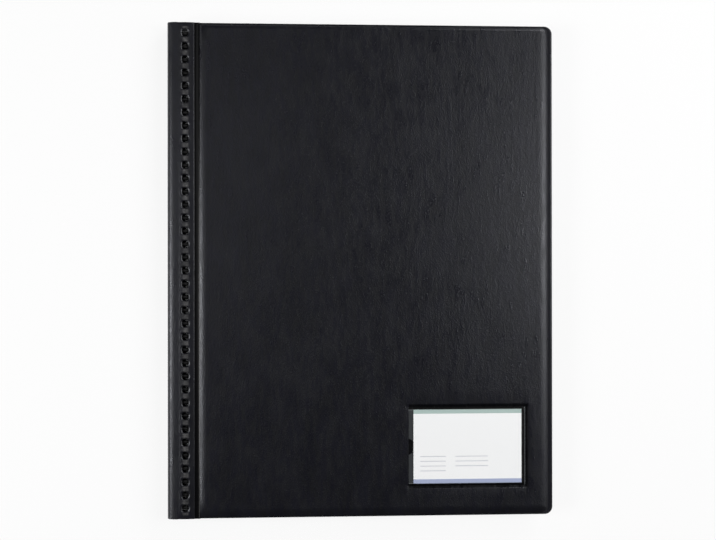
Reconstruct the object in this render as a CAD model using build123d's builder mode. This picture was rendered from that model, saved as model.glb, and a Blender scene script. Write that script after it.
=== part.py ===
from build123d import *
import math
import os

# A pocket display book, closed and lying on its back cover. X runs from the spine to the fore-edge,
# Y from the bottom of the page to its top, Z up through the front cover. The origin is under the
# middle of the book. All sizes are in millimetres.

# Cover outline
cover_width = 249.6
cover_height = 318.6
book_thickness = 15.4
strip_width = 17.5
groove_width = 2.9
fold_radius = 2.4
corner_radius = 5.0

# Layers of the cover, from the outside in
skin_thickness = 0.7
board_thickness = 1.5
lining_thickness = 0.5

# Raised panel over the board, and the flat welded border around it
fore_border = 3.7
end_border = 1.6
edge_wall = 1.5
edge_rounding = 1.2
padded_corner_radius = 2.5
hinge_gap = 0.1

# Ring comb behind the punched strip
ring_pitch = 8.467
ring_line = 11.4
ring_end_margin = 5.5
ring_section = 1.2
ring_width = 2.4
ring_clearance = 0.3
ring_root_angle = -75.0
ring_tip_angle = 232.0
bar_width = 6.4
bar_thickness = 1.4
strip_hole_width = 4.5
strip_hole_height = 5.0
strip_hole_spine_corner = 1.0
strip_hole_fore_corner = 2.0

# Rivets through the comb's bar, midway between two rings
rivet_head_diameter = 5.0
rivet_shank_diameter = 2.6
rivet_clearance = 0.05
rivet_steps = (5.5, 14.5)

# Clear pockets, and the sheet in each of them
pocket_count = 10
pocket_fore_margin = 5.3
pocket_end_margin = 2.0
pocket_corner_radius = 3.0
film_thickness = 0.12
sheet_space = 0.36
stack_margin = 0.4
punched_margin = 14.0
pocket_weld = 2.0
pocket_hole_diameter = 4.4
pocket_hole_margin = 3.4
insert_thickness = 0.2
insert_side_clearance = 2.35
insert_floor_clearance = 1.0
insert_top_margin = 14.6

# Label window on the front panel
window_width = 76.2
window_height = 50.6
window_from_fore_edge = 18.2
window_from_bottom = 19.9
window_weld = 1.0
window_film = 0.25
notch_length = 10.8
notch_depth = 2.6
notch_slant = 1.6
card_thickness = 0.3
card_clearance = 0.1
card_left_margin = 3.1
card_right_margin = 2.4
card_end_margin = 0.2

# Positions that follow from the sizes above
strip_layers = skin_thickness + lining_thickness
panel_layers = skin_thickness + board_thickness + lining_thickness
spine_x = -cover_width / 2
fore_edge_x = cover_width / 2
strip_start_x = spine_x + fold_radius
strip_end_x = spine_x + strip_width
panel_start_x = strip_end_x + groove_width
fold_top_z = book_thickness - fold_radius
ring_count = math.floor((cover_height - 2 * ring_end_margin) / ring_pitch) + 1
ring_axis_x = spine_x + ring_line
ring_axis_z = book_thickness / 2
ring_outer_radius = ring_axis_z - strip_layers - ring_clearance
ring_inner_radius = ring_outer_radius - ring_section
ring_mean_radius = ring_outer_radius - ring_section / 2
pocket_width = fore_edge_x - pocket_fore_margin - ring_axis_x - ring_mean_radius + pocket_hole_margin
pocket_height = cover_height - 2 * pocket_end_margin
pocket_thickness = 2 * film_thickness + sheet_space
first_pocket_z = panel_layers + stack_margin
last_pocket_z = book_thickness - panel_layers - stack_margin - pocket_thickness
pocket_pitch = (last_pocket_z - first_pocket_z) / (pocket_count - 1)
insert_width = pocket_width - punched_margin - pocket_weld - 2 * insert_side_clearance
insert_height = pocket_height - pocket_weld - insert_floor_clearance - insert_top_margin
window_right_x = fore_edge_x - window_from_fore_edge
window_left_x = window_right_x - window_width
window_bottom_y = -cover_height / 2 + window_from_bottom
window_middle_y = window_bottom_y + window_height / 2
window_space = card_thickness + 2 * card_clearance

# The outer faces of the front and back covers. Both normals point out of the book.
front_face = Plane.XY.offset(book_thickness)
back_face = Plane(origin=(0, 0, 0), x_dir=(1, 0, 0), z_dir=(0, 0, -1))
across_spine = Plane.XZ

os.makedirs("parts", exist_ok=True)


def save(piece, name):
    piece.label = name
    export_step(piece, f"parts/{name}.step")


def box_outline(start_x, end_x, half_height, radius):
    """A rectangle whose two fore-edge corners are rounded."""
    with BuildSketch() as outline:
        with Locations(((start_x + end_x) / 2, 0)):
            Rectangle(end_x - start_x, 2 * half_height)
        fillet(outline.vertices().group_by(Axis.X)[-1], radius=radius)
    return outline.sketch


panel_outline = box_outline(panel_start_x, fore_edge_x, cover_height / 2, corner_radius)
padded_end_x = fore_edge_x - fore_border
padded_half_height = cover_height / 2 - end_border
padded_outline = box_outline(panel_start_x, padded_end_x, padded_half_height, padded_corner_radius)
board_outline = box_outline(
    panel_start_x + edge_wall,
    padded_end_x - edge_wall,
    padded_half_height - edge_wall,
    padded_corner_radius - edge_wall,
)


def panel_skin(face):
    """Vinyl skin of a cover panel: a flat welded border, raised and rounded over the board."""
    weld_level = face.offset(-skin_thickness - board_thickness)
    with BuildPart() as skin:
        with BuildSketch(weld_level):
            add(panel_outline)
        extrude(amount=skin_thickness)
        with BuildSketch(weld_level):
            add(padded_outline)
        extrude(amount=skin_thickness + board_thickness)
        outer_face = skin.faces().sort_by(Axis(face.origin, face.z_dir))[-1]
        fillet(outer_face.edges(), radius=edge_rounding)
        with BuildSketch(weld_level):
            add(board_outline)
        extrude(amount=board_thickness, mode=Mode.SUBTRACT)
    return skin.part


def panel_board(face):
    """Stiff board that fills the raised part of a cover panel."""
    with BuildPart() as board:
        with BuildSketch(face.offset(-skin_thickness - board_thickness)):
            add(board_outline)
        extrude(amount=board_thickness)
    return board.part


def panel_lining(face):
    """Inner lining of a cover panel, welded to the skin all round."""
    with BuildPart() as lining:
        with BuildSketch(face.offset(-panel_layers)):
            add(panel_outline)
        extrude(amount=lining_thickness)
    return lining.part


def strip_hole():
    """A punched hole with a straight side towards the spine and round corners towards the panel."""
    with BuildSketch() as hole:
        Rectangle(strip_hole_width, strip_hole_height)
        fillet(hole.vertices().group_by(Axis.X)[0], radius=strip_hole_spine_corner)
        fillet(hole.vertices().group_by(Axis.X)[-1], radius=strip_hole_fore_corner)
    return hole.sketch


def front_strip_layer(depth, thickness):
    """One layer of the punched strip, measured in depth from the front face."""
    with BuildPart() as layer:
        with BuildSketch(front_face.offset(-depth - thickness)):
            with Locations(((strip_start_x + strip_end_x) / 2, 0)):
                Rectangle(strip_end_x - strip_start_x, cover_height)
            with Locations((ring_axis_x, 0)):
                with GridLocations(ring_pitch, ring_pitch, 1, ring_count):
                    add(strip_hole(), mode=Mode.SUBTRACT)
        extrude(amount=thickness)
    return layer.part


def wall_layer(depth, thickness):
    """One layer of the spine wall, which ends in the rounded upper fold."""
    outer_radius = fold_radius - depth
    inner_radius = outer_radius - thickness
    with BuildPart() as layer:
        with BuildSketch(across_spine):
            with BuildLine():
                outer = CenterArc((strip_start_x, fold_top_z), outer_radius, 90, 90)
                inner = CenterArc((strip_start_x, fold_top_z), inner_radius, 90, 90)
                Line(outer @ 0, inner @ 0)
                Polyline(
                    outer @ 1,
                    (strip_start_x - outer_radius, fold_radius),
                    (strip_start_x - inner_radius, fold_radius),
                    inner @ 1,
                )
            make_face()
        extrude(amount=cover_height / 2, both=True)
    return layer.part


def back_strip_layer(depth, thickness, hole_diameter):
    """One layer of the back strip with the rounded lower fold, pierced for the rivets."""
    outer_radius = fold_radius - depth
    inner_radius = outer_radius - thickness
    with BuildPart() as layer:
        with BuildSketch(across_spine):
            with BuildLine():
                outer = CenterArc((strip_start_x, fold_radius), outer_radius, 180, 90)
                inner = CenterArc((strip_start_x, fold_radius), inner_radius, 180, 90)
                Line(outer @ 0, inner @ 0)
                Polyline(
                    outer @ 1,
                    (strip_end_x, depth),
                    (strip_end_x, depth + thickness),
                    inner @ 1,
                )
            make_face()
        extrude(amount=cover_height / 2, both=True)
        with BuildSketch(Plane.XY.offset(depth)):
            with Locations(*rivet_places):
                Circle(hole_diameter / 2 + rivet_clearance)
        extrude(amount=thickness, mode=Mode.SUBTRACT)
    return layer.part


def hinge_weld(face):
    """Thin welded web in the groove between a strip and its panel."""
    weld_width = groove_width - hinge_gap
    with BuildPart() as weld:
        with BuildSketch(face.offset(-strip_layers)):
            with Locations((strip_end_x + weld_width / 2, 0)):
                Rectangle(weld_width, cover_height)
        extrude(amount=lining_thickness)
    return weld.part


rivet_places = []
for step in rivet_steps:
    rivet_places.append((ring_axis_x, step * ring_pitch))
    rivet_places.append((ring_axis_x, -step * ring_pitch))

# Front cover: panel, punched strip and hinge weld
save(panel_skin(front_face), "front_panel_skin")
save(panel_board(front_face), "front_board")
save(panel_lining(front_face), "front_panel_lining")
save(front_strip_layer(0, skin_thickness), "punched_strip_skin")
save(front_strip_layer(skin_thickness, lining_thickness), "punched_strip_lining")
save(hinge_weld(front_face), "front_hinge_weld")

# Spine wall between the two strips
save(wall_layer(0, skin_thickness), "spine_wall_skin")
save(wall_layer(skin_thickness, lining_thickness), "spine_wall_lining")

# Back cover: panel, back strip and hinge weld
save(panel_skin(back_face), "back_panel_skin")
save(panel_board(back_face), "back_board")
save(panel_lining(back_face), "back_panel_lining")
save(back_strip_layer(0, skin_thickness, rivet_head_diameter), "back_strip_skin")
save(back_strip_layer(skin_thickness, lining_thickness, rivet_shank_diameter), "back_strip_lining")
save(hinge_weld(back_face), "back_hinge_weld")

# Ring comb: a base bar on the back strip, with a curled ring behind each hole
with BuildPart() as ring:
    with BuildSketch(across_spine):
        with BuildLine():
            sweep_angle = ring_tip_angle - ring_root_angle
            ring_axis = (ring_axis_x, ring_axis_z)
            outside = CenterArc(ring_axis, ring_outer_radius, ring_root_angle, sweep_angle)
            inside = CenterArc(ring_axis, ring_inner_radius, ring_root_angle, sweep_angle)
            Line(outside @ 0, inside @ 0)
            Line(outside @ 1, inside @ 1)
        make_face()
    extrude(amount=ring_width / 2, both=True)

with BuildPart() as comb:
    with BuildSketch(Plane.XY.offset(strip_layers)):
        with Locations((ring_axis_x, 0)):
            Rectangle(bar_width, (ring_count - 1) * ring_pitch + ring_width)
        with Locations(*rivet_places):
            Circle(rivet_shank_diameter / 2 + rivet_clearance, mode=Mode.SUBTRACT)
    extrude(amount=bar_thickness)
    with GridLocations(ring_pitch, ring_pitch, 1, ring_count):
        add(ring.part)
save(comb.part, "ring_comb")

with BuildPart() as rivets:
    with BuildSketch(Plane.XY):
        with Locations(*rivet_places):
            Circle(rivet_head_diameter / 2)
    extrude(amount=skin_thickness)
    with BuildSketch(Plane.XY.offset(skin_thickness)):
        with Locations(*rivet_places):
            Circle(rivet_shank_diameter / 2)
    extrude(amount=lining_thickness + bar_thickness)
save(rivets.part, "comb_rivets")

# Clear pockets from the bottom of the stack to its top. Each one's holes lie on the ring circle.
for number in range(1, pocket_count + 1):
    pocket_z = first_pocket_z + (number - 1) * pocket_pitch
    height_over_axis = pocket_z + pocket_thickness / 2 - ring_axis_z
    hole_x = ring_axis_x + math.sqrt(ring_mean_radius**2 - height_over_axis**2)
    pocket_start_x = hole_x - pocket_hole_margin
    sheet_start_x = pocket_start_x + punched_margin
    sheet_end_x = pocket_start_x + pocket_width - pocket_weld
    pocket_outline = box_outline(
        pocket_start_x, pocket_start_x + pocket_width, pocket_height / 2, pocket_corner_radius
    )
    with BuildPart() as pocket:
        with BuildSketch(Plane.XY.offset(pocket_z)):
            add(pocket_outline)
            with Locations((hole_x, 0)):
                with GridLocations(ring_pitch, ring_pitch, 1, ring_count):
                    Circle(pocket_hole_diameter / 2, mode=Mode.SUBTRACT)
        extrude(amount=pocket_thickness)
        with BuildSketch(Plane.XY.offset(pocket_z + film_thickness)):
            with Locations(((sheet_start_x + sheet_end_x) / 2, pocket_weld)):
                Rectangle(sheet_end_x - sheet_start_x, pocket_height)
        extrude(amount=sheet_space, mode=Mode.SUBTRACT)
    save(pocket.part, f"pocket_{number:02d}")

    sheet_floor_y = -pocket_height / 2 + pocket_weld + insert_floor_clearance
    with BuildPart() as insert:
        with BuildSketch(Plane.XY.offset(pocket_z + (pocket_thickness - insert_thickness) / 2)):
            with Locations(((sheet_start_x + sheet_end_x) / 2, sheet_floor_y + insert_height / 2)):
                Rectangle(insert_width, insert_height)
        extrude(amount=insert_thickness)
    save(insert.part, f"insert_{number:02d}")

# Label window: a clear film welded to the front panel on three sides, open on the left
with BuildPart() as window:
    with BuildSketch(front_face):
        with Locations(((window_left_x + window_right_x) / 2, window_middle_y)):
            Rectangle(window_width, window_height)
        with BuildLine():
            Polyline(
                (window_left_x, window_middle_y - notch_length / 2),
                (window_left_x + notch_depth, window_middle_y - notch_length / 2 + notch_slant),
                (window_left_x + notch_depth, window_middle_y + notch_length / 2 - notch_slant),
                (window_left_x, window_middle_y + notch_length / 2),
                close=True,
            )
        make_face(mode=Mode.SUBTRACT)
    extrude(amount=window_space + window_film)
    with BuildSketch(front_face):
        with Locations(((window_left_x + window_right_x) / 2 - window_weld, window_middle_y)):
            Rectangle(window_width, window_height - 2 * window_weld)
    extrude(amount=window_space, mode=Mode.SUBTRACT)
save(window.part, "label_window")

with BuildPart() as card:
    with BuildSketch(front_face.offset(card_clearance)):
        card_start_x = window_left_x + card_left_margin
        card_end_x = window_right_x - card_right_margin
        with Locations(((card_start_x + card_end_x) / 2, window_middle_y)):
            Rectangle(card_end_x - card_start_x, window_height - 2 * (window_weld + card_end_margin))
    extrude(amount=card_thickness)
save(card.part, "label_card")
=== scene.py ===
# %% [markdown]
# # A pocket display book
# The book lies closed on its back cover, with its spine on the left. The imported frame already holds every
# piece at its real size and place. This lesson dresses that frame: it models the soft vinyl cover, the ring
# comb and the label window as new meshes, and gives every surface a procedural finish.

import math

import bmesh
import bpy
from mathutils import Matrix, Vector, noise


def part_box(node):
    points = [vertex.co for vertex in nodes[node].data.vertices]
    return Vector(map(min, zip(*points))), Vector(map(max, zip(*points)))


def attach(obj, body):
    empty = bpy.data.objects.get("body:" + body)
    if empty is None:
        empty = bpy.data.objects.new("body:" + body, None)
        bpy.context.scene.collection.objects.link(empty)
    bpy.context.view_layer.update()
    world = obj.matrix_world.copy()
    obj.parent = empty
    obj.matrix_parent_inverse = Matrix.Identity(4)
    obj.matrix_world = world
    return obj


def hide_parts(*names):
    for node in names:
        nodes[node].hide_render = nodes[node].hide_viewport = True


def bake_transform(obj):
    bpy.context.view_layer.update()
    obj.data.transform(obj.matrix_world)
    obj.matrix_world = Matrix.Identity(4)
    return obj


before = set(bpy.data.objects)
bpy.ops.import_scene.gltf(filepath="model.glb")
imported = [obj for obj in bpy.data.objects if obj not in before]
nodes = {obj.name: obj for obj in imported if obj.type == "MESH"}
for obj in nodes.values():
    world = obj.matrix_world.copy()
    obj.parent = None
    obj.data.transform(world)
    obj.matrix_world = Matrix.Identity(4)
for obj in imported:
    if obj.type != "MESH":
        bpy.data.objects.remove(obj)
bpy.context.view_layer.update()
MM = 0.001
print("frame nodes:", len(nodes))

# %% [markdown]
# ## Sizes
# Every new piece has to fit the frame, so its sizes are read from the frame's own boxes. The soft details
# that the frame leaves plain, such as the roundness of a fold, are chosen where they are first needed.

# %% Read the sizes
panel_low, panel_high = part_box("front_panel_skin")
strip_low, strip_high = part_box("punched_strip_skin")
strip_lining_low, strip_lining_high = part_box("punched_strip_lining")
wall_low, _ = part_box("spine_wall_skin")
comb_low, comb_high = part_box("ring_comb")
window_low, window_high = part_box("label_window")
card_low, card_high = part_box("label_card")

book_top = panel_high.z
half_height = panel_high.y
spine_x = wall_low.x
fore_edge_x = panel_high.x
strip_end_x = strip_high.x
panel_start_x = panel_low.x
ring_x = (comb_low.x + comb_high.x) / 2
ring_z = book_top / 2
skin_thickness = strip_high.z - strip_low.z
lining_thickness = strip_lining_high.z - strip_lining_low.z
sheet_thickness = skin_thickness + lining_thickness
ring_count = 37
ring_width = 2.4 * MM
ring_pitch = (comb_high.y - comb_low.y - ring_width) / (ring_count - 1)
print("cover in mm:", round((fore_edge_x - spine_x) / MM, 1), "by", round(2 * half_height / MM, 1))

# %% [markdown]
# ## Shader maths in Python
# A material is a graph of nodes. Wiring Math nodes by hand hides the idea behind the boxes, so one small
# class wraps a socket and turns Python's operators into Math nodes. A second class makes any other node from
# its type, its settings and its sockets, and a third one adds what a material needs.


# %% Wrap sockets and materials
class Value:
    """An output socket whose operators add Math nodes."""

    def __init__(self, graph, socket):
        self.graph = graph
        self.socket = socket

    def math(self, operation, first, second=0.0):
        return self.graph.node("ShaderNodeMath", {"operation": operation}, {0: first, 1: second})

    def __add__(self, other):
        return self.math("ADD", self, other)

    __radd__ = __add__

    def __sub__(self, other):
        return self.math("SUBTRACT", self, other)

    def __rsub__(self, other):
        return self.math("SUBTRACT", other, self)

    def __mul__(self, other):
        return self.math("MULTIPLY", self, other)

    __rmul__ = __mul__

    def __gt__(self, other):
        return self.math("GREATER_THAN", self, other)

    def __lt__(self, other):
        return self.math("LESS_THAN", self, other)

    def __abs__(self):
        return self.math("ABSOLUTE", self)

    def at_most(self, other):
        return self.math("MINIMUM", self, other)

    def at_least(self, other):
        return self.math("MAXIMUM", self, other)

    def ramp(self, low, high):
        """0 below low, 1 above high, and smooth between them."""
        settings = {"interpolation_type": "SMOOTHSTEP"}
        sockets = {"Value": self, "From Min": low, "From Max": high}
        return self.graph.node("ShaderNodeMapRange", settings, sockets)


class Graph:
    """The nodes of a material or of the world."""

    def __init__(self, owner):
        self.owner = owner
        owner.use_nodes = True
        self.tree = owner.node_tree
        self.tree.nodes.clear()

    def node(self, kind, settings, sockets, output=0):
        made = self.tree.nodes.new(kind)
        for key, value in settings.items():
            setattr(made, key, value)
        for key, value in sockets.items():
            self.join(value, made.inputs[key])
        return Value(self, made.outputs[output])

    def join(self, value, socket):
        if isinstance(value, Value):
            self.tree.links.new(value.socket, socket)
        else:
            socket.default_value = value


class Paint(Graph):
    """A material with one Principled shader, painted in the frame's own coordinates."""

    def __init__(self, name):
        super().__init__(bpy.data.materials.new(name))
        self.shader = self.tree.nodes.new("ShaderNodeBsdfPrincipled")
        output = self.tree.nodes.new("ShaderNodeOutputMaterial")
        self.tree.links.new(self.shader.outputs[0], output.inputs[0])
        self.place = self.node("ShaderNodeTexCoord", {}, {}, "Object")

    def axes(self):
        """The X, Y and Z of the surface point, each as a value."""
        return [self.node("ShaderNodeSeparateXYZ", {}, {0: self.place}, axis) for axis in "XYZ"]

    def noise(self, scale, detail, stretch=(1, 1, 1), distortion=0.0):
        mapped = self.node("ShaderNodeMapping", {}, {"Vector": self.place, "Scale": stretch})
        sockets = {"Vector": mapped, "Scale": scale, "Detail": detail, "Distortion": distortion}
        return self.node("ShaderNodeTexNoise", {}, sockets)

    def mix(self, share, first, second):
        """A colour between two others, through the Mix node's sockets for colours."""
        made = self.tree.nodes.new("ShaderNodeMix")
        made.data_type = "RGBA"
        for key, value in {"Factor": share, "A": first, "B": second}.items():
            found = [s for s in made.inputs if s.name == key and s.enabled]
            self.join(value, found[0])
        return Value(self, [s for s in made.outputs if s.enabled][0])

    def bump(self, height, distance, strength):
        sockets = {"Height": height, "Distance": distance, "Strength": strength}
        return self.node("ShaderNodeBump", {}, sockets)

    def dress(self, sockets):
        for key, value in sockets.items():
            self.join(value, self.shader.inputs[key])
        return self.owner


def rgb(red, green, blue):
    """A screen colour from 0 to 255 as the linear colour that a shader takes."""
    shares = [channel / 255 for channel in (red, green, blue)]
    return [s / 12.92 if s <= 0.04045 else ((s + 0.055) / 1.055) ** 2.4 for s in shares] + [1.0]


print("a middle screen grey is a linear", round(rgb(128, 128, 128)[0], 3))

# %% [markdown]
# ## Pressed vinyl, painted shade and a painted highlight
# Heat has pressed the grain smooth in the label window and along its welds. The same mask paints the vinyl
# darker there: a painted shade of the groove that the welds press in. The bridges between the holes get a
# painted highlight, a paler grey in patches, where the bulged vinyl catches light. Both could be painted by
# hand on an image. A mask that is worked out from the frame's sizes stays in place when a size changes, so
# each is an expression on X, Y and Z.

# %% Mask the pressed vinyl, its painted shade and the painted highlight
press_and_shade_width = 2.4 * MM
highlight_shift = 0.5 * MM
highlight_column = (0.8 * MM, 2.6 * MM)
highlight_between = (2.3 * MM, 3.3 * MM)
highlight_least = 0.45
highlighted_grey = rgb(104, 103, 103)


def pressed_and_shaded_frame(paint):
    """1 in the label window and on a line along its three welds, and 0 elsewhere. There the grain is
    pressed smooth and the vinyl gets a painted shade.
    """
    x, y, z = paint.axes()
    outside = (x - window_high.x).at_least(y - window_high.y).at_least(window_low.y - y)
    near = 1 - outside.ramp(press_and_shade_width * 0.5, press_and_shade_width)
    return near * (z > book_top / 2) * (x > window_low.x)


def highlighted_bridges(paint):
    """1 on the bridges between the holes, in patches, and 0 elsewhere. It places a painted highlight."""
    x, y, z = paint.axes()
    from_hole = y.math("PINGPONG", y, ring_pitch / 2)
    between = from_hole.ramp(*highlight_between) * (abs(y) < ring_pitch * ring_count / 2)
    in_column = 1 - abs(x - ring_x - highlight_shift).ramp(*highlight_column)
    patches = paint.noise(1.0, 3.0, (700, 500, 700)).ramp(0.3, 0.7)
    return between * in_column * (z > book_top / 2) * (highlight_least + patches * (1 - highlight_least))


print("bridges rubbed over mm:", round((ring_pitch - 2 * highlight_between[0]) / MM, 2))

# %% [markdown]
# ## Black vinyl with a leather grain
# The cover is calendered vinyl: near black, a little blue, with pores of about half a millimetre and long
# soft creases that run up the page. A flat colour would look like paper. The grain is a bump of three
# layers, stretched noise for the creases, finer noise for the fibres and a cell pattern for the pores, and
# broad clouds change the gloss from place to place as handling does.

# %% Make the vinyl
vinyl_dark = rgb(1, 1, 2)
vinyl_light = rgb(20, 20, 28)
vinyl_roughness = 0.26
vinyl_gloss_tint = rgb(247, 249, 255)
pore_scale = 1500.0
grain_depth = 0.25 * MM


def leather_vinyl():
    paint = Paint("leather_grain_vinyl")
    pressed = pressed_and_shaded_frame(paint)
    highlighted = highlighted_bridges(paint)
    clouds = paint.noise(1.0, 3.0, (90, 45, 90)).ramp(0.3, 0.7)
    creases = paint.noise(1.0, 4.0, (420, 110, 420), 0.3)
    fibres = paint.noise(1.0, 3.0, (1300, 520, 1300), 0.2)
    cells = {"Vector": paint.place, "Scale": pore_scale, "Randomness": 1.0}
    pores = paint.node("ShaderNodeTexVoronoi", {}, cells)
    ridges = creases.ramp(0.34, 0.68)
    height = (creases * 0.5 + fibres * 0.4 + pores * 0.3) * (1 - pressed)
    # Painted highlight: the bridges between the holes turn a paler grey in patches.
    light_with_highlight = paint.mix(highlighted, vinyl_light, highlighted_grey)
    grain = paint.mix(clouds * 0.14 + ridges * 0.46 + fibres * 0.4, vinyl_dark, light_with_highlight)
    return paint.dress({
        # Painted shade: the vinyl is darker in the label window and along its welds.
        "Base Color": paint.mix(pressed, grain, vinyl_dark),
        "Roughness": vinyl_roughness + clouds * 0.04 + (1 - ridges) * 0.12 - pressed * 0.12,
        "Specular IOR Level": 0.45,
        "Specular Tint": vinyl_gloss_tint,
        "Normal": paint.bump(height, grain_depth, 0.8),
    })


def smooth_shaded_weld():
    """Pressed vinyl in the hinge welds has lost its grain and is smoother. Its darker colour is a
    painted shade of the narrow groove.
    """
    paint = Paint("pressed_weld_vinyl")
    press_marks = paint.noise(1.0, 3.0, (300, 900, 300))
    return paint.dress({
        # Painted shade: darker than the cover's vinyl, as the narrow groove lies in shade.
        "Base Color": paint.mix(press_marks, rgb(2, 2, 3), rgb(9, 9, 10)),
        "Roughness": 0.16 + press_marks * 0.12,
        "Specular IOR Level": 0.25,
        "Normal": paint.bump(press_marks, 0.05 * MM, 0.4),
    })


vinyl = leather_vinyl()
shaded_weld_vinyl = smooth_shaded_weld()
print("vinyl nodes:", len(vinyl.node_tree.nodes))

# %% [markdown]
# ## Lining, board, comb plastic and rivets
# The lining inside the cover is a plainer vinyl with a fine matt print. The board is grey pulp that only
# shows at a cut. The comb is moulded black plastic, smoother than the cover, and the rivets are painted
# steel. They come to light when the book opens, so each has some noise instead of a plain colour.


# %% Make the inner finishes
def matt_lining():
    paint = Paint("matt_lining")
    print_grain = paint.noise(1400, 3.0)
    clouds = paint.noise(22, 2.0)
    return paint.dress({
        "Base Color": paint.mix(clouds, rgb(24, 24, 26), rgb(33, 33, 35)),
        "Roughness": 0.52 + print_grain * 0.16,
        "Specular IOR Level": 0.35,
        "Normal": paint.bump(print_grain, 0.05 * MM, 0.5),
    })


def grey_board():
    paint = Paint("grey_board")
    pulp = paint.noise(900, 6.0, (1, 1, 4))
    return paint.dress({
        "Base Color": paint.mix(pulp, rgb(120, 115, 107), rgb(168, 163, 154)),
        "Roughness": 0.85 + pulp * 0.1,
        "Normal": paint.bump(pulp, 0.08 * MM, 0.6),
    })


def moulded_plastic():
    paint = Paint("moulded_black_plastic")
    flow = paint.noise(120, 3.0, (1, 0.3, 1))
    return paint.dress({
        "Base Color": paint.mix(flow, rgb(8, 8, 9), rgb(15, 15, 16)),
        "Roughness": 0.36 + flow * 0.14,
        "Specular IOR Level": 0.4,
        "Normal": paint.bump(flow, 0.04 * MM, 0.4),
    })


def rivet_paint():
    paint = Paint("black_rivet_steel")
    wear = paint.noise(700, 4.0)
    bare = wear.ramp(0.62, 0.75)
    return paint.dress({
        "Base Color": paint.mix(bare, rgb(22, 22, 23), rgb(96, 96, 98)),
        "Metallic": bare,
        "Roughness": 0.3 + wear * 0.2,
        "Normal": paint.bump(wear, 0.03 * MM, 0.5),
    })


lining = matt_lining()
board = grey_board()
comb_plastic = moulded_plastic()
rivet_steel = rivet_paint()
print("inner finishes made")

# %% [markdown]
# ## Helpers for meshes
# A bmesh is a mesh that is being shaped. Each piece starts from a bmesh shape, is pushed into place in the
# frame's own coordinates, and becomes an object that sits at the origin, because its place is in its points.


# %% Turn a shape into a piece
def keep_mesh(name, shape):
    mesh = bpy.data.meshes.new(name)
    shape.to_mesh(mesh)
    shape.free()
    return mesh


def finish_piece(name, shape, material, sharp_degrees=40):
    shape.edges.index_update()
    rims = [edge.index for edge in shape.edges if edge.is_boundary]
    mesh = keep_mesh(name, shape)
    mesh.materials.append(material)
    mesh.shade_smooth()
    mesh.set_sharp_from_angle(angle=math.radians(sharp_degrees))
    for rim in rims:
        mesh.edges[rim].use_edge_sharp = True
    piece = bpy.data.objects.new(name, mesh)
    bpy.context.scene.collection.objects.link(piece)
    print(name, "faces:", len(mesh.polygons))
    return piece


def thicken(piece, thickness):
    """Gives a sheet its thickness, behind the side that its faces point to."""
    solid = piece.modifiers.new("thickness", "SOLIDIFY")
    solid.thickness = thickness
    solid.offset = -1.0


def point_faces(shape, direction):
    """Turns the faces of an open sheet towards a direction."""
    bmesh.ops.recalc_face_normals(shape, faces=shape.faces)
    facing = sum(face.normal.dot(direction) * face.calc_area() for face in shape.faces)
    if facing < 0:
        bmesh.ops.reverse_faces(shape, faces=shape.faces)


# %% [markdown]
# Most pieces are sheets. A sheet is drawn as one edge that is extruded step by step, spun round a bend, or
# cut straight through where it needs more points. Points are matched within a tolerance, in metres.

# %% Draw, turn, cut and repeat
fine_tolerance = 1e-7
coarse_tolerance = 1e-6


def edges_at(edges, axis, value, tolerance):
    """The edges that lie at one place along an axis."""
    return [edge for edge in edges if all(abs(v.co[axis] - value) < tolerance for v in edge.verts)]


def extrude_edges(shape, edges):
    """Extrudes edges in place, and returns the new points and the edges between them."""
    made = bmesh.ops.extrude_edge_only(shape, edges=edges)["geom"]
    points = [part for part in made if isinstance(part, bmesh.types.BMVert)]
    fresh = [part for part in made if isinstance(part, bmesh.types.BMEdge)]
    return points, [edge for edge in fresh if all(v in points for v in edge.verts)]


def push_edges(shape, edges, step):
    """Extrudes edges by a step, and returns the new ones."""
    points, pushed = extrude_edges(shape, edges)
    bmesh.ops.translate(shape, vec=step, verts=points)
    return pushed


def draw_along_page(shape, profile):
    """Draws a section, given as points (x, z), along the whole height of the page."""
    ends = [shape.verts.new((profile[0][0], y, profile[0][1])) for y in (-half_height, half_height)]
    edges = [shape.edges.new(ends)]
    for here, there in zip(profile, profile[1:]):
        edges = push_edges(shape, edges, (there[0] - here[0], 0, there[1] - here[1]))
    return edges


def turn_edges(shape, edges, centre, degrees, steps):
    """Carries edges round an axis along the page."""
    bmesh.ops.spin(
        shape, geom=edges, cent=(centre[0], 0, centre[1]), axis=(0, -1, 0),
        angle=math.radians(degrees), steps=steps,
    )


def cut_at(shape, axis, value):
    """Cuts straight through the whole shape at one place along an axis."""
    normal = Vector((0, 0, 0))
    normal[axis] = 1
    geometry = shape.verts[:] + shape.edges[:] + shape.faces[:]
    bmesh.ops.bisect_plane(
        shape, geom=geometry, plane_co=normal * value, plane_no=normal, dist=fine_tolerance,
    )


def add_box(shape, low, high):
    made = bmesh.ops.create_cube(shape, size=1.0)["verts"]
    bmesh.ops.scale(shape, vec=high - low, verts=made)
    bmesh.ops.translate(shape, vec=(low + high) / 2, verts=made)


def repeat_along_page(shape, mesh, x, z):
    """Adds a copy of a mesh at each ring's place along the page."""
    for number in range(ring_count):
        known = len(shape.verts)
        shape.from_mesh(mesh)
        shape.verts.ensure_lookup_table()
        y = (number - (ring_count - 1) / 2) * ring_pitch
        bmesh.ops.translate(shape, vec=(x, y, z), verts=shape.verts[known:])


print("rings along the page:", ring_count, "every", round(ring_pitch / MM, 3), "mm")

# %% [markdown]
# ## Cover panels
# Each panel is a board wrapped in vinyl. Along the fore-edge, the top and the bottom the vinyl is welded
# shut: a low rim rises at the very edge and falls into a valley beside the board. From there the vinyl climbs
# a short wall and swells over the board's edge in a soft round shoulder, which catches the light. A bevelled
# box would have the same roundness on all its edges. A face that is inset again and again, each time by its
# own step in and up, gives the rim, the valley and the shoulder one after another. After each inset the
# sides with a wider band are moved on: the fore-edge, the hinge side and the bottom.

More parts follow.
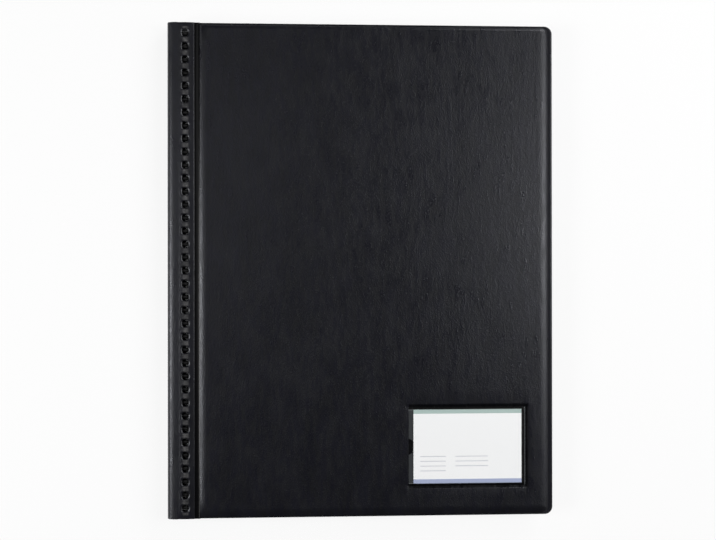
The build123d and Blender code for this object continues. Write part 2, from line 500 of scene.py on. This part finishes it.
# %% Raise the rim
rim_level = 0.33 * MM
border_steps = (
    (0.02, 0.45), (0.06, 0.55), (0.14, 0.63), (0.26, 0.68), (0.42, 0.7),
    (0.6, 0.62), (0.8, 0.48), (1.0, 0.34),
)
fore_border = 2.5 * MM
end_border = 1.0 * MM
hinge_side_border = 0.1 * MM
outer_corner = 5.0 * MM
corner_steps = 8
panel_middle_x = (panel_start_x + fore_edge_x) / 2


def inset_top(shape, top, inward, upward):
    bmesh.ops.inset_region(shape, faces=[top], thickness=inward, depth=upward, use_even_offset=True)


def slide(shape, verts, across, along=0):
    bmesh.ops.translate(shape, vec=(across, along, 0), verts=verts)


def top_sides(top):
    """The top face's points towards the fore-edge, and those towards the hinge."""
    fore_side = [v for v in top.verts if v.co.x > panel_middle_x]
    hinge_side = [v for v in top.verts if v.co.x < panel_middle_x]
    return fore_side, hinge_side


def outline_face(shape):
    """The panel's outline, with its two fore-edge corners rounded, as one face."""
    made = bmesh.ops.create_grid(shape, x_segments=1, y_segments=1, size=0.5)["verts"]
    bmesh.ops.scale(shape, vec=(fore_edge_x - panel_start_x, 2 * half_height, 1), verts=made)
    bmesh.ops.translate(shape, vec=(panel_middle_x, 0, panel_low.z), verts=made)
    corners = [v for v in made if v.co.x > 0]
    bmesh.ops.bevel(
        shape, geom=corners, offset=outer_corner, offset_type="OFFSET", segments=corner_steps, profile=0.5,
        affect="VERTICES", material=-1, clamp_overlap=False,
    )
    return shape.faces[:][0]


def thin_slab(shape):
    """A slab with the panel's outline, as thick as the rim's outer wall. Returns its top face."""
    raised = bmesh.ops.extrude_face_region(shape, geom=[outline_face(shape)])["geom"]
    lifted = [part for part in raised if isinstance(part, bmesh.types.BMVert)]
    bmesh.ops.translate(shape, vec=(0, 0, rim_level), verts=lifted)
    bmesh.ops.recalc_face_normals(shape, faces=shape.faces)
    return max(shape.faces, key=lambda face: face.calc_center_median().z)


def raise_border(shape, top):
    """Shapes the rim and the valley beside it, and returns the valley's level."""
    crossed, level = 0, rim_level
    for next_crossed, height in border_steps:
        part = next_crossed - crossed
        inset_top(shape, top, part * end_border, height * MM - level)
        fore_side, hinge_side = top_sides(top)
        slide(shape, fore_side, part * (end_border - fore_border))
        slide(shape, hinge_side, part * (hinge_side_border - end_border))
        crossed, level = next_crossed, height * MM
    return level


print("rim and valley steps:", len(border_steps))

# %% Raise the shoulder
crown_width = 2.8 * MM
crown_steps = 8
wall_share = 0.45
wall_inset = 0.2 * MM
wall_steps = 5
fore_shoulder_width = 7.5 * MM
fore_shoulder_power = 3.3
hinge_crown_width = 5.2 * MM
bottom_crown_width = 6.0 * MM
wide_crown_power = 2.3


def shoulder_profile():
    """Steps from the border to the top, as how far in and what share of the way up."""
    steps = []
    for k in range(1, wall_steps + 1):
        steps.append((wall_inset * (k / wall_steps) ** 2, wall_share * k / wall_steps))
    for k in range(1, crown_steps + 1):
        along = k / crown_steps
        climbed = wall_share + (1 - wall_share) * (1 - (1 - along) ** 2)
        steps.append((wall_inset + crown_width * along, climbed))
    return steps


def crown_reach(share, width):
    """How far in a wider crown has come at a share of the way up."""
    still_up = (1 - share) / (1 - wall_share)
    return wall_inset + width * (1 - still_up ** (1 / wide_crown_power))


def raise_shoulder(shape, top, level):
    rise = panel_high.z - panel_low.z - level
    inward, share, fore_reach, hinge_reach, bottom_reach = 0, 0, 0, 0, 0
    for next_inward, next_share in shoulder_profile():
        inset = next_inward - inward
        inset_top(shape, top, inset, (next_share - share) * rise)
        next_fore = fore_shoulder_width * (1 - (1 - next_share) ** (1 / fore_shoulder_power))
        next_hinge, next_bottom = next_inward, next_inward
        if next_share > wall_share:
            next_hinge = crown_reach(next_share, hinge_crown_width)
            next_bottom = crown_reach(next_share, bottom_crown_width)
        fore_side, hinge_side = top_sides(top)
        bottom_side = [v for v in top.verts if v.co.y < 0]
        slide(shape, fore_side, inset - next_fore + fore_reach)
        slide(shape, hinge_side, next_hinge - hinge_reach - inset)
        slide(shape, bottom_side, 0, next_bottom - bottom_reach - inset)
        inward, share = next_inward, next_share
        fore_reach, hinge_reach, bottom_reach = next_fore, next_hinge, next_bottom


print("shoulder steps:", len(shoulder_profile()))

# %% [markdown]
# The top of a real panel isn't quite flat. It sags by a hair between the places where the glue holds, and the
# window's welds are pressed into it as a groove. A bump would not change the outline or the exported mesh, so
# the top is cut into cells and its points are moved down.

# %% Let the top sag and press the groove
sag_depth = 0.07 * MM
sag_cell = 12 * MM
sag_waves = 22
groove_half_width = 2.4 * MM
groove_depth = 0.45 * MM
groove_steps = 3


def cut_into_cells(shape, low, high, axis):
    count = round((high - low) / sag_cell)
    for step in range(1, count):
        cut_at(shape, axis, low + (high - low) * step / count)


def cut_for_groove(shape, low, high):
    """Cuts the panel along the groove, so that it has points to press down."""
    for step in range(-groove_steps, groove_steps + 1):
        shift = groove_half_width * step / groove_steps
        cut_at(shape, 0, high.x + shift)
        cut_at(shape, 1, high.y + shift)
        cut_at(shape, 1, low.y + shift)
    cut_at(shape, 0, low.x)
    cut_at(shape, 0, low.x - groove_half_width)


def groove_share(point, low, high):
    """1 on the window's welded sides, falling to 0 at the groove's edge."""
    beside_x = max(low.x - point.x, point.x - high.x, 0)
    beside_y = max(low.y - point.y, point.y - high.y, 0)
    if beside_x > 0 or beside_y > 0:
        away = math.hypot(beside_x, beside_y)
    else:
        away = min(high.x - point.x, high.y - point.y, point.y - low.y)
    if point.x < low.x and beside_y == 0:
        before = low.x - point.x
        away = min(math.hypot(before, high.y - point.y), math.hypot(before, point.y - low.y))
    share = min(away / groove_half_width, 1)
    return (1 + math.cos(math.pi * share)) / 2


def panel_shape(sag_seed, flat_low, flat_high, pressed):
    """A front panel. Its top sags by a hair except where it has to stay flat."""
    shape = bmesh.new()
    top = thin_slab(shape)
    raise_shoulder(shape, top, raise_border(shape, top))
    cut_into_cells(shape, panel_start_x, fore_edge_x, 0)
    cut_into_cells(shape, -half_height, half_height, 1)
    if pressed:
        cut_for_groove(shape, flat_low, flat_high)
    for vert in shape.verts:
        if vert.co.z < panel_high.z - coarse_tolerance:
            continue
        beside_x = max(flat_low.x - vert.co.x, vert.co.x - flat_high.x)
        beside_y = max(flat_low.y - vert.co.y, vert.co.y - flat_high.y)
        fade = min(max(beside_x, beside_y, 0) / sag_cell, 1)
        wave = noise.noise(Vector((vert.co.x * sag_waves, vert.co.y * sag_waves, sag_seed)))
        vert.co.z -= fade * sag_depth * (0.5 + 0.5 * wave)
        if pressed:
            vert.co.z -= groove_depth * groove_share(vert.co, flat_low, flat_high)
    bmesh.ops.recalc_face_normals(shape, faces=shape.faces)
    return shape


print("groove in mm:", round(2 * groove_half_width / MM, 1), "wide,", round(groove_depth / MM, 2), "deep")

# %% [markdown]
# The front panel carries the label window, so it stays flat there. The back panel is the same shape upside
# down. A mirror turns a shape inside out, so its faces are turned again.

# %% Place both panels
front_sag_seed = 1.5
back_sag_seed = 7.5
page_middle = Vector((0, 0, 0))

front_shape = panel_shape(front_sag_seed, window_low, window_high, True)
front_skin = finish_piece("front_cover_skin", front_shape, vinyl, sharp_degrees=30)
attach(front_skin, "front_cover")
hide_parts("front_panel_skin")

back_shape = panel_shape(back_sag_seed, page_middle, page_middle, False)
bmesh.ops.scale(back_shape, vec=(1, 1, -1), verts=back_shape.verts)
bmesh.ops.translate(back_shape, vec=(0, 0, book_top), verts=back_shape.verts)
bmesh.ops.recalc_face_normals(back_shape, faces=back_shape.faces)
back_skin = finish_piece("back_cover_skin", back_shape, vinyl, sharp_degrees=30)
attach(back_skin, "back_cover")
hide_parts("back_panel_skin")

# %% [markdown]
# ## Punched strip
# One column of holes runs down the strip beside the spine. Each punch has drawn the vinyl down, so a hole
# lies in a small dish with a faint lip. A boolean cut would leave hard edges and long thin faces. One cell is
# modelled instead: a circle that is extruded outwards, ring by ring up the dish, and then into a square. The
# holes are nearly square, straighter towards the spine and rounder towards the panel, so each ring of points
# is moved out onto that outline.

# %% Model one cell
layer_gap = 0.1 * MM
strip_level = book_top - layer_gap
strip_skin = strip_level - strip_lining_high.z
fold_reach = 6.4 * MM
fold_flat = 0.4 * MM
strip_start_x = spine_x + fold_reach + fold_flat
spine_side_half_width = 1.8 * MM
panel_side_half_width = 2.4 * MM
hole_half_height = 2.35 * MM
spine_side_squareness = 3.2
panel_side_squareness = 2.4
dish_bottom = -0.45
dish_rings = ((0.2, -0.3), (0.42, -0.16), (0.65, -0.05), (0.9, 0.03), (1.2, 0.05), (1.5, 0.0))
cell_sides = 40
spine_side_steps = 3
panel_side_steps = 2
edge_round = 0.5 * MM
edge_steps = ((0.5, 0.13), (0.35, 0.3), (0.15, 0.4))


def spread_ring(shape, edges, place):
    """Extrudes a ring of edges and moves each new point to where place puts it."""
    points, spread = extrude_edges(shape, edges)
    for vert in points:
        vert.co = place(vert.co)
    return spread


def around_hole(outward, height):
    """A rounded square around the hole, with tighter corners on the spine's side."""

    def place(point):
        ray = Vector((point.x, point.y, 0)).normalized()
        power, half_width = panel_side_squareness, panel_side_half_width
        if ray.x < 0:
            power, half_width = spine_side_squareness, spine_side_half_width
        across = abs(ray.x / (half_width + outward)) ** power
        along = abs(ray.y / (hole_half_height + outward)) ** power
        return ray * (across + along) ** (-1 / power) + Vector((0, 0, height))

    return place


def to_square(half_side):
    return lambda point: Vector((point.x, point.y, 0)) * (half_side / max(abs(point.x), abs(point.y)))


def punched_cell():
    shape = bmesh.new()
    bmesh.ops.create_circle(shape, cap_ends=False, radius=hole_half_height, segments=cell_sides)
    edge_of_hole = around_hole(0, dish_bottom * MM)
    for vert in shape.verts:
        vert.co = edge_of_hole(vert.co)
    edges = shape.edges[:]
    for outward, height in dish_rings:
        edges = spread_ring(shape, edges, around_hole(outward * MM, height * MM))
    edges = spread_ring(shape, edges, to_square(ring_pitch / 2))
    sides = (
        (-1, ring_x - strip_start_x, spine_side_steps),
        (1, strip_end_x - edge_round - ring_x, panel_side_steps),
    )
    for side, reach, steps in sides:
        border = edges_at(edges, 0, side * ring_pitch / 2, fine_tolerance)
        step = side * (reach - ring_pitch / 2) / steps
        for _ in range(steps):
            border = push_edges(shape, border, (step, 0, 0))
    for across, drop in edge_steps:
        border = push_edges(shape, border, (across * edge_round, 0, -drop * edge_round))
    return keep_mesh("punched_cell", shape)


cell = punched_cell()
print("faces in a cell:", len(cell.polygons))

# %% [markdown]
# The cells are set side by side and merged into one sheet, and both its ends roll down a little. The rings
# below push the vinyl up along the column and leave shallow dents in it.

# %% Join the cells into the strip
column_bulge = 0.48 * MM
column_width = 4.5 * MM
dent_depth = 0.05 * MM
dent_width = 2.2 * MM
dent_waves = 60
dent_seed = 3.5
strip_end_gap = 0.02 * MM


def column_rise(x):
    """How far the rings below push the vinyl up, at a distance from their column."""
    across = (x - ring_x) / column_width
    return column_bulge * math.exp(-across * across)


def strip_shape():
    shape = bmesh.new()
    repeat_along_page(shape, cell, ring_x, strip_level)
    bmesh.ops.remove_doubles(shape, verts=shape.verts, dist=coarse_tolerance)
    for side in (-1, 1):
        last = side * ring_count * ring_pitch / 2
        border = edges_at(shape.edges, 1, last, coarse_tolerance)
        margin = half_height - strip_end_gap - abs(last) - edge_round
        border = push_edges(shape, border, (0, side * margin, 0))
        for along, drop in edge_steps:
            border = push_edges(shape, border, (0, side * along * edge_round, -drop * edge_round))
    for vert in shape.verts:
        across = (vert.co.x - ring_x) / dent_width
        wander = noise.noise(Vector((vert.co.x * dent_waves, vert.co.y * dent_waves, dent_seed)))
        vert.co.z += column_rise(vert.co.x) + dent_depth * wander * math.exp(-across * across)
    point_faces(shape, Vector((0, 0, 1)))
    return shape


punched_skin = finish_piece("punched_strip_vinyl", strip_shape(), vinyl, sharp_degrees=50)
thicken(punched_skin, strip_skin)
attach(punched_skin, "punched_strip")
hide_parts("punched_strip_skin")

# %% [markdown]
# ## Spine folds
# The vinyl wraps round the spine in two soft folds, which bend like living hinges. A rigid fold would tear
# away from one side when the cover opens, so each fold is a sheet of its own, which is not attached to either
# body. A spin gives a quarter circle, and its points are then moved onto a squarer curve that reaches further
# into the strip than it falls down the wall.

# %% Bend the folds
back_level = layer_gap
fold_round = 4.2 * MM
fold_squareness = 2.7
fold_steps = 14
fold_end_tolerance = 0.01 * MM
fold_thickness = sheet_thickness - layer_gap
wall_flat = 1.0 * MM


def fold_shape(outer_level, upward):
    """A fold from the wall into a strip: a short flat, a quarter turn and another short flat."""
    shape = bmesh.new()
    bend_z = outer_level - upward * fold_round
    edges = draw_along_page(shape, [(spine_x, bend_z - upward * wall_flat), (spine_x, bend_z)])
    turn_edges(shape, edges, (spine_x + fold_round, bend_z), -90 * upward, fold_steps)
    bmesh.ops.remove_doubles(shape, verts=shape.verts, dist=fine_tolerance)
    for vert in shape.verts:
        across = max(1 - (vert.co.x - spine_x) / fold_round, 0)
        along = max((vert.co.z - bend_z) * upward / fold_round, 0)
        vert.co.x = spine_x + fold_reach * (1 - across ** (2 / fold_squareness))
        if along > 0:
            vert.co.z = bend_z + upward * fold_round * along ** (2 / fold_squareness)
    end_edges = edges_at(shape.edges, 0, spine_x + fold_reach, fold_end_tolerance)
    push_edges(shape, end_edges, (fold_flat, 0, 0))
    if upward > 0:
        for vert in shape.verts:
            vert.co.z += column_rise(vert.co.x)
    point_faces(shape, Vector((-1, 0, upward)))
    return shape


upper_shape = fold_shape(strip_level, 1)
upper_fold = finish_piece("upper_spine_fold", upper_shape, vinyl, sharp_degrees=30)
thicken(upper_fold, fold_thickness)
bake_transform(upper_fold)

lower_shape = fold_shape(back_level, -1)
lower_fold = finish_piece("lower_spine_fold", lower_shape, vinyl, sharp_degrees=30)
thicken(lower_fold, fold_thickness)
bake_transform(lower_fold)

# %% [markdown]
# ## Spine wall and back strip
# The wall between the folds and the strip on the back are flat, each a skin with a lining behind it. Nothing
# on them is round, so plain boxes that end where the folds begin are enough.


# %% Lay the flat layers
def flat_layer(name, across, levels, material, body, replaced):
    """A box along the whole page, between two places across it and two levels."""
    low = Vector((across[0], -half_height, levels[0]))
    high = Vector((across[1], half_height, levels[1]))
    shape = bmesh.new()
    add_box(shape, low, high)
    piece = finish_piece(name, shape, material)
    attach(piece, body)
    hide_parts(replaced)


wall_levels = (back_level + fold_round + wall_flat, strip_level - fold_round - wall_flat)
wall_middle_x = spine_x + skin_thickness
wall_inner_x = wall_middle_x + lining_thickness - layer_gap
strip_span = (strip_start_x, strip_end_x)
flat_layer(
    "spine_wall_vinyl", (spine_x, wall_middle_x), wall_levels,
    vinyl, "spine_wall", "spine_wall_skin",
)
flat_layer(
    "spine_wall_inside", (wall_middle_x, wall_inner_x), wall_levels,
    lining, "spine_wall", "spine_wall_lining",
)
flat_layer(
    "back_strip_vinyl", strip_span, (back_level, skin_thickness),
    vinyl, "spine_base", "back_strip_skin",
)
flat_layer(
    "back_strip_inside", strip_span, (skin_thickness, sheet_thickness),
    lining, "spine_base", "back_strip_lining",
)

# %% [markdown]
# ## Hinge welds
# Between each strip and its panel the vinyl is pressed thin, so that the cover can fold there. The groove is
# drawn as a section across it. Like a fold, it is a sheet of its own and is not attached to either body.

# %% Press the grooves
weld_depth = 1.0 * MM
weld_flank = 0.35 * MM
weld_rise = 0.3 * MM
weld_thickness = 0.4 * MM


def weld_shape(outer_level, upward):
    bottom = outer_level - upward * weld_depth
    section = [
        (strip_end_x - weld_flank, bottom + upward * weld_rise),
        (strip_end_x + weld_flank, bottom),
        (panel_start_x - weld_flank, bottom),
        (panel_start_x + weld_flank, bottom + upward * weld_rise),
    ]
    shape = bmesh.new()
    draw_along_page(shape, section)
    point_faces(shape, Vector((0, 0, upward)))
    return shape


front_weld = finish_piece("front_hinge_groove", weld_shape(book_top, 1), shaded_weld_vinyl)
thicken(front_weld, weld_thickness)
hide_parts("front_hinge_weld")
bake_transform(front_weld)
back_weld = finish_piece("back_hinge_groove", weld_shape(0, -1), shaded_weld_vinyl)
thicken(back_weld, weld_thickness)
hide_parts("back_hinge_weld")
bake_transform(back_weld)

# %% [markdown]
# ## Ring comb
# Behind every hole a curled ring grows out of one base bar. A ring is an oval that is spun round the comb's
# axis and stops short of a full turn, so that a page can be slipped over its tip. A bevelled curve would curl
# as well, but the spin keeps the oval upright, and its two ends are closed in one step.

# %% Spin the rings
ring_section = 1.2 * MM
ring_section_sides = 12
ring_radius = (comb_high.x - comb_low.x - ring_section) / 2
ring_root_degrees = -75.0
ring_tip_degrees = 232.0
ring_steps = 40
bar_half_width = 3.2 * MM
bar_thickness = 1.35 * MM
bar_round = 0.3 * MM
bar_round_steps = 3
bar_low = Vector((ring_x - bar_half_width, comb_low.y, comb_low.z))
bar_high = Vector((ring_x + bar_half_width, comb_high.y, comb_low.z + bar_thickness))


def ring_mesh():
    shape = bmesh.new()
    made = bmesh.ops.create_circle(shape, cap_ends=False, radius=1.0, segments=ring_section_sides)["verts"]
    bmesh.ops.scale(shape, vec=(ring_section / 2, ring_width / 2, 1), verts=made)
    bmesh.ops.translate(shape, vec=(ring_radius, 0, 0), verts=made)
    turn = Matrix.Rotation(math.radians(-ring_root_degrees), 3, "Y")
    bmesh.ops.rotate(shape, cent=(0, 0, 0), matrix=turn, verts=made)
    bmesh.ops.translate(shape, vec=(ring_x, 0, ring_z), verts=made)
    turn_edges(shape, shape.edges[:], (ring_x, ring_z), ring_tip_degrees - ring_root_degrees, ring_steps)
    bmesh.ops.remove_doubles(shape, verts=shape.verts, dist=fine_tolerance)
    rims = [e for e in shape.edges if e.is_boundary]
    bmesh.ops.holes_fill(shape, edges=rims, sides=0)
    bmesh.ops.recalc_face_normals(shape, faces=shape.faces)
    return keep_mesh("comb_ring", shape)


def comb_shape():
    shape = bmesh.new()
    add_box(shape, bar_low, bar_high)
    bmesh.ops.bevel(
        shape, geom=shape.edges[:], offset=bar_round, offset_type="OFFSET", segments=bar_round_steps,
        profile=0.5, affect="EDGES", material=-1, clamp_overlap=True,
    )
    repeat_along_page(shape, ring_mesh(), 0, 0)
    return shape


comb = finish_piece("ring_binding", comb_shape(), comb_plastic, sharp_degrees=50)
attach(comb, "spine_base")
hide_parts("ring_comb")

# %% [markdown]
# ## Label window
# A clear film is welded to the cover on three sides. Its left edge stays open for the card, with a thumb
# notch. The outline is a flat face that is cut into cells, closer together near the welds, and each point
# then rises with its distance from the welds, so the film swells over the card like the real one.

# %% Swell the film
notch_length = 10.8 * MM
notch_depth = 2.6 * MM
notch_slant = 1.6 * MM
film_cells = 24
film_thickness = 0.2 * MM
film_swell = 1.5 * MM
film_height = window_high.z - film_thickness
weld_lift = 0.25 * MM
weld_height = book_top - groove_depth + weld_lift


def film_shape():
    middle_y = (window_low.y + window_high.y) / 2
    notch_top, notch_bottom = middle_y + notch_length / 2, middle_y - notch_length / 2
    notch_x = window_low.x + notch_depth
    outline = [
        (window_low.x, window_low.y), (window_high.x, window_low.y),
        (window_high.x, window_high.y), (window_low.x, window_high.y),
        (window_low.x, notch_top), (notch_x, notch_top - notch_slant),
        (notch_x, notch_bottom + notch_slant), (window_low.x, notch_bottom),
    ]
    shape = bmesh.new()
    shape.faces.new([shape.verts.new((x, y, 0)) for x, y in outline])
    for axis in (0, 1):
        for step in range(1, film_cells):
            share = step / film_cells
            near_weld = (1 - math.cos(math.pi * share)) / 2
            cut_at(shape, axis, window_low.lerp(window_high, near_weld)[axis])
    for vert in shape.verts:
        inside = min(window_high.x - vert.co.x, window_high.y - vert.co.y, vert.co.y - window_low.y)
        share = min(inside / film_swell, 1)
        rise = math.sin(math.pi / 2 * share)
        vert.co.z = weld_height + (film_height - weld_height) * rise
    point_faces(shape, Vector((0, 0, 1)))
    return shape


print("film swells by mm:", round((film_height - weld_height) / MM, 2))

# %% [markdown]
# The film is nearly invisible, a little milky at its open edge. Along its three welds it is painted dark, a
# painted shade of the groove that the welds press in, and a thin painted highlight runs along the right edge.
# All of this depends on the distance from an edge, so ramps on the coordinates paint it, and no strips of
# mesh are needed. The card is white stock with two pale bands and plain ruled lines.

# %% Make the clear film and the card
right_weld_extra = 1.2 * MM
weld_fade = (1.2 * MM, 1.8 * MM)
milky_fade = (2.0 * MM, 5.0 * MM)
highlight_line_inset = 0.35 * MM
highlight_line_fade = (0.1 * MM, 0.35 * MM)


def window_film():
    paint = Paint("clear_window_film")
    x, y, _ = paint.axes()
    to_right = window_high.x - x
    to_weld = (to_right - right_weld_extra).at_most(window_high.y - y).at_most(y - window_low.y)
    weld = 1 - to_weld.ramp(*weld_fade)
    open_edge = 1 - x.ramp(*[window_low.x + distance for distance in milky_fade])
    highlight_line = 1 - abs(to_right - highlight_line_inset).ramp(*highlight_line_fade)
    ripple = paint.noise(90, 2.0)
    return paint.dress({
        # Painted shade along the welds, broken by a painted highlight line at the right edge.
        "Base Color": paint.mix(weld * (1 - highlight_line), rgb(206, 212, 216), rgb(4, 4, 5)),
        "Roughness": 0.12 + ripple * 0.1 + weld * 0.45,
        "Specular IOR Level": 0.15,
        "Alpha": 0.012 + open_edge * 0.02 + weld * 0.6 * (1 - highlight_line) + highlight_line * 0.006,
        "Normal": paint.bump(ripple, 0.2 * MM, 0.4),
    })


card_band = 2.9 * MM
lowest_line = 5.4 * MM
line_pitch = 3.1 * MM
line_thickness = 0.5 * MM
line_blocks = ((4.4, 21.0, 4), (27.2, 48.5, 3))
most_lines = max(count for left, right, count in line_blocks)


def label_card():
    paint = Paint("label_card_stock")
    x, y, _ = paint.axes()
    fibre = paint.noise(1800, 3.0)
    top_band = y > card_high.y - card_band
    bottom_band = y < card_low.y + card_band
    white = paint.mix(fibre, rgb(247, 248, 248), rgb(252, 252, 252))
    with_top = paint.mix(top_band, white, rgb(172, 192, 187))
    with_both = paint.mix(bottom_band, with_top, rgb(165, 175, 205))
    lines = 0.0
    for left, right, count in line_blocks:
        for row in range(count):
            level = card_low.y + card_band + lowest_line + (row + most_lines - count) * line_pitch
            on_row = abs(y - level) < line_thickness / 2
            across = (x > card_low.x + left * MM) * (x < card_low.x + right * MM)
            lines = on_row * across + lines
    return paint.dress({
        "Base Color": paint.mix(lines * 0.55, with_both, rgb(150, 150, 168)),
        "Roughness": 0.5 + fibre * 0.15,
        "Normal": paint.bump(fibre, 0.03 * MM, 0.4),
    })


film_finish = window_film()
card_finish = label_card()
film = finish_piece("clear_label_window", film_shape(), film_finish)
thicken(film, film_thickness)
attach(film, "front_cover")
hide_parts("label_window")

# %% [markdown]
# ## Pockets and inserts
# The pockets are clear polypropylene: glossy, faintly rippled, and frosted where they are welded. Light
# passes through, so the shader transmits it. Each one holds a sheet of black paper. The frame's own meshes
# already have the right shape, so they only get their finishes.

# %% Make the pocket film and the paper
pocket_weld = 2.0 * MM
pocket_weld_fade = 0.4 * MM
punched_margin = 14 * MM
margin_line_fade = (0.4 * MM, 0.8 * MM)


def pocket_film(name):
    low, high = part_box(name)
    paint = Paint(f"clear_film_{name}")
    x, y, _ = paint.axes()
    at_edge = (high.x - x).at_most(y - low.y)
    seam = 1 - at_edge.ramp(pocket_weld - pocket_weld_fade, pocket_weld)
    margin_line = 1 - abs(x - (low.x + punched_margin)).ramp(*margin_line_fade)
    frosted = seam.at_least(margin_line)
    emboss = paint.noise(1600, 2.0)
    ripple = paint.noise(22, 2.0, (1, 0.5, 1))
    return paint.dress({
        "Base Color": paint.mix(frosted, rgb(244, 247, 248), rgb(214, 220, 224)),
        "Roughness": 0.1 + frosted * 0.4 + emboss * 0.06,
        "Transmission Weight": 0.94,
        "IOR": 1.45,
        "Specular IOR Level": 0.5,
        "Normal": paint.bump(ripple, 2.5 * MM, 0.5),
    })


def black_paper():
    paint = Paint("black_insert_paper")
    fibre = paint.noise(1300, 5.0, (1, 0.6, 1))
    mottle = paint.noise(60, 3.0)
    return paint.dress({
        "Base Color": paint.mix(fibre * 0.6 + mottle * 0.4, rgb(23, 23, 24), rgb(38, 38, 39)),
        "Roughness": 0.82 + fibre * 0.12,
        "Specular IOR Level": 0.3,
        "Normal": paint.bump(fibre, 0.05 * MM, 0.5),
    })


paper = black_paper()
finishes = {
    "front_panel_lining": lining, "back_panel_lining": lining, "punched_strip_lining": lining,
    "front_board": board, "back_board": board, "comb_rivets": rivet_steel, "label_card": card_finish,
}
for name in nodes:
    if name.startswith("pocket"):
        finishes[name] = pocket_film(name)
    if name.startswith("insert"):
        finishes[name] = paper
for name, finish in finishes.items():
    nodes[name].data.materials.clear()
    nodes[name].data.materials.append(finish)
print("frame nodes dressed:", len(finishes))

# %% [markdown]
# ## Studio
# The book is shown on a white table before a white backdrop, with a pale shadow. More light would make them
# white too, but it would bleach the book. So the world looks white only to the camera, and low down to gloss
# and clear film, and lights the book as a dim room. The table is frosted acrylic and mostly clear, so that a
# cover that hangs below it can still be seen, and it fades out far from the book.

# %% Lay the table
table_half_side = 6.0
table_drop = 0.15 * MM
table_fade = (0.4, 1.0)

floor_shape = bmesh.new()
bmesh.ops.create_grid(floor_shape, x_segments=1, y_segments=1, size=table_half_side)
bmesh.ops.translate(floor_shape, vec=(0, 0, -table_drop), verts=floor_shape.verts)
floor_mesh = keep_mesh("table_top", floor_shape)
floor = bpy.data.objects.new("table_top", floor_mesh)
bpy.context.scene.collection.objects.link(floor)


def frosted_table():
    """White and mostly clear, and quite clear far from the book."""
    paint = Paint("frosted_white_table")
    away = paint.node("ShaderNodeVectorMath", {"operation": "LENGTH"}, {0: paint.place}, "Value")
    return paint.dress({
        "Base Color": rgb(240, 240, 240),
        "Roughness": 0.9,
        "Specular IOR Level": 0.0,
        "Alpha": 0.14 * (1 - away.ramp(*table_fade)),
    })


floor_mesh.materials.append(frosted_table())
print("table fades out from", table_fade[0], "to", table_fade[1], "m")

# %% Hang the backdrop
sky = Graph(bpy.data.worlds.new("white_studio"))
bpy.context.scene.world = sky.owner
kinds_of_ray = ("Is Camera Ray", "Is Glossy Ray", "Is Transmission Ray")
to_camera, glossy, passing = [sky.node("ShaderNodeLightPath", {}, {}, kind) for kind in kinds_of_ray]
direction = sky.node("ShaderNodeTexCoord", {}, {}, "Generated")
up = sky.node("ShaderNodeSeparateXYZ", {}, {0: direction}, "Z")
low_down = sky.node("ShaderNodeMapRange", {}, {"Value": up, "From Min": 0.2, "From Max": 0.0})
looks_white = to_camera.at_least(glossy.at_least(passing) * low_down)
room = sky.node("ShaderNodeBackground", {}, {"Color": rgb(226, 228, 232), "Strength": 0.08})
backdrop = sky.node("ShaderNodeBackground", {}, {"Color": (1, 1, 1, 1), "Strength": 1.0})
chosen = sky.node("ShaderNodeMixShader", {}, {0: looks_white, 1: room, 2: backdrop})
sky.join(chosen, sky.tree.nodes.new("ShaderNodeOutputWorld").inputs[0])
print("backdrop nodes:", len(sky.tree.nodes))

# %% [markdown]
# ## Soft boxes
# Black vinyl shows its shape by what it mirrors. Small lamps would leave hard spots, so five soft boxes light
# the book. Those at the left, right and upper right draw the light lines along the folds and shoulders. The
# two high ones lay a sheen on the panel.


# %% Hang the soft boxes
def soft_box(name, place, width, height, watts):
    """A rectangular lamp that faces the middle of the book."""
    lamp = bpy.data.lights.new(name, "AREA")
    lamp.shape = "RECTANGLE"
    lamp.size = width
    lamp.size_y = height
    lamp.energy = watts
    box = bpy.data.objects.new(name, lamp)
    box.location = place
    box.rotation_euler = (page_middle - Vector(place)).to_track_quat("-Z", "Y").to_euler()
    bpy.context.scene.collection.objects.link(box)


soft_box("left_soft_box", (-0.85, -0.1, 0.62), 0.45, 0.35, 6.2)
soft_box("upper_left_soft_box", (-0.34, 0.14, 0.9), 0.6, 0.5, 0.5)
soft_box("right_soft_box", (0.85, 0.08, 0.6), 0.55, 0.35, 3.0)
soft_box("upper_right_soft_box", (0.6, 0.8, 0.62), 0.5, 0.35, 5.1)
soft_box("sheen_soft_box", (0.64, 0.1, 0.95), 0.4, 0.3, 3.3)
print("soft boxes:", len(bpy.data.lights))

# %% [markdown]
# ## Camera
# The photograph looks almost straight down, from a little towards the spine, so the spine side looks slightly
# larger. The camera's place and turn were worked out from the cover's four corners in the picture.

# %% Place the camera
camera_data = bpy.data.cameras.new("photo_camera")
camera_data.sensor_width = 36.0
camera_data.lens = 50.0
camera = bpy.data.objects.new("photo_camera", camera_data)
camera.location = (-0.0335, -0.0009, 0.657)
camera.rotation_euler = [math.radians(angle) for angle in (0.105, -2.782, -0.066)]
bpy.context.scene.collection.objects.link(camera)
bpy.context.scene.camera = camera
bpy.context.scene.view_settings.view_transform = "Standard"
print("camera above the table in mm:", round(camera.location.z / MM))
